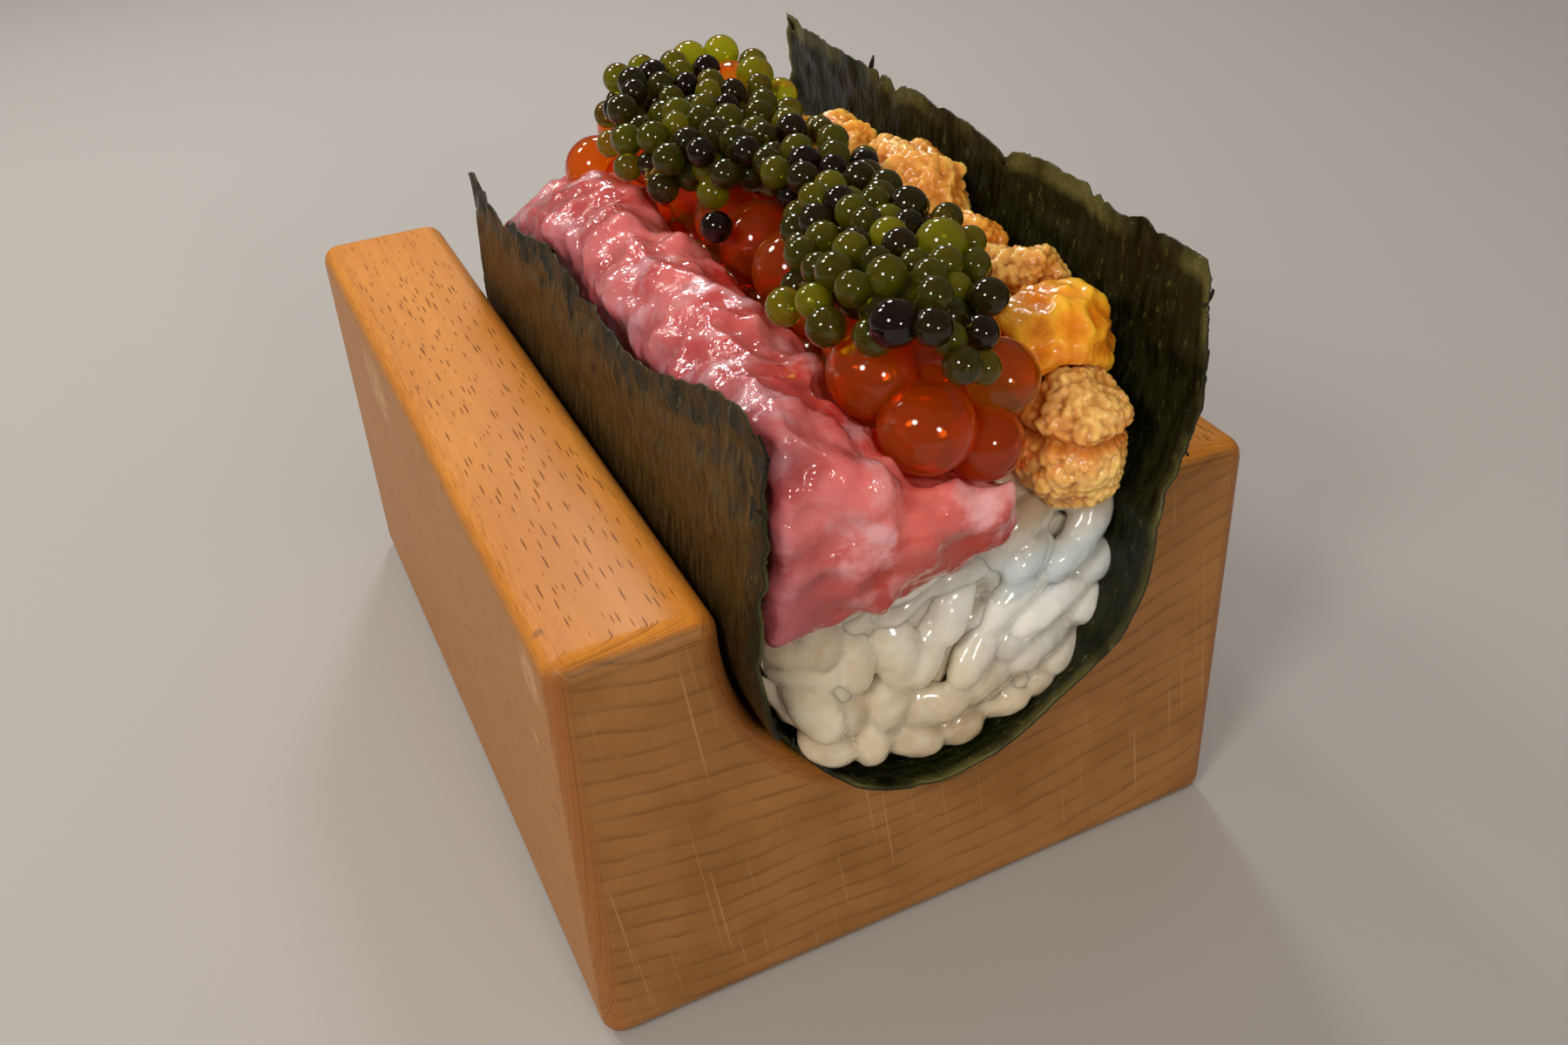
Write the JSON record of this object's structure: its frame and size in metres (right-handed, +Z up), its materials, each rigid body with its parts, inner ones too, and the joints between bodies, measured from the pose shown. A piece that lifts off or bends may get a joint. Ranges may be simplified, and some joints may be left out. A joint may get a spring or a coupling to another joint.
{
  "type": "temaki hand roll in a wooden holder",
  "caption": "Open nori hand roll of rice, minced fatty tuna, salmon roe, dark caviar and sea urchin, standing in a round-bottomed channel of a small beech block.",
  "frame": {"origin": "centre of the holder's flat underside", "axes": "+X across the channel to the right, +Y along the channel towards its empty end (the roll's open front faces -Y), +Z up"},
  "size_m": [0.06, 0.087, 0.0619],
  "materials": {
    "beech": "oiled beech, satin, with short dark pores on the flat-sawn faces",
    "nori": "toasted seaweed sheet, dark olive, fibrous, slightly glossy inside",
    "rice": "seasoned sushi rice, white and slightly translucent, moist",
    "tuna": "minced fatty tuna, pink to red, wet and finely lumpy",
    "salmon_roe": "translucent orange-red balls, wet and very glossy",
    "caviar": "translucent dark olive pearls, wet and very glossy",
    "uni": "sea urchin lobes, golden orange, finely pimpled and moist"
  },
  "bodies": {
    "root": {"holder": "beech", "nori": "nori", "rice": "rice", "tuna": "tuna", "salmon_roe": "salmon_roe", "caviar": "caviar", "uni_1": "uni", "uni_2": "uni", "uni_3": "uni", "uni_4": "uni", "uni_5": "uni", "uni_6": "uni", "uni_7": "uni"}
  },
  "joints": []
}
